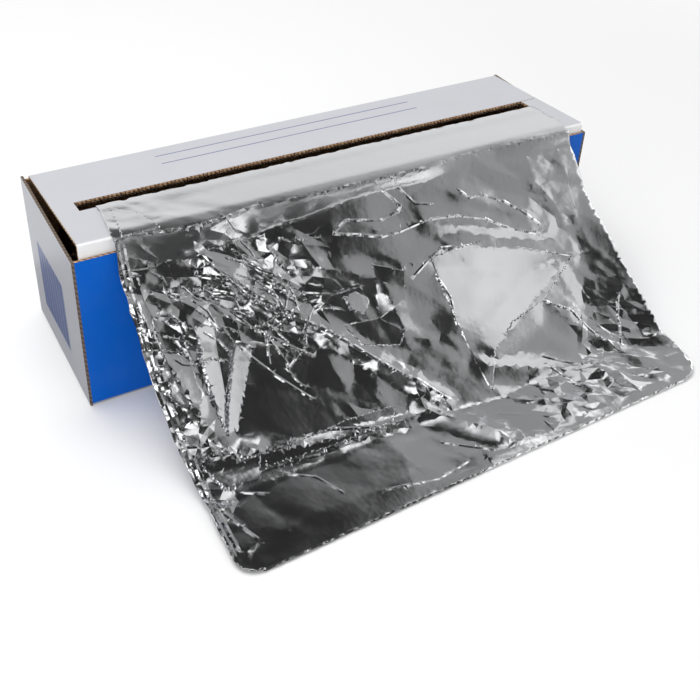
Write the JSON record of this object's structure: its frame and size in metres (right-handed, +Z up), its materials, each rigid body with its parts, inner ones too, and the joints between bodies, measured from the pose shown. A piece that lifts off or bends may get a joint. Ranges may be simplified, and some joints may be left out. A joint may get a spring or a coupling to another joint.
{
  "type": "aluminium foil roll in a cutter carton",
  "caption": "Wound aluminium foil on a paperboard core in a folded carton with a slotted lid and a serrated cutter strip; a crumpled sheet is drawn out over the front.",
  "frame": {"origin": "middle of the carton's base, on the surface it stands on", "axes": "+X along the roll, to the right seen from the front; -Y to the front, where the foil is drawn out; +Z up"},
  "size_m": [0.33, 0.2392, 0.1053],
  "materials": {
    "printed_board": "printed corrugated board, semi-gloss outside, bare kraft inside",
    "blade_steel": "thin serrated strip",
    "foil": "bright, crumpled",
    "core_board": "bare kraft"
  },
  "bodies": {
    "root": {"carton_base": "printed_board", "carton_front": "printed_board", "carton_back": "printed_board", "carton_left_end": "printed_board", "carton_right_end": "printed_board", "carton_lid": "printed_board", "cutter_strip": "blade_steel", "foil": "foil", "core_tube": "core_board"}
  },
  "joints": []
}
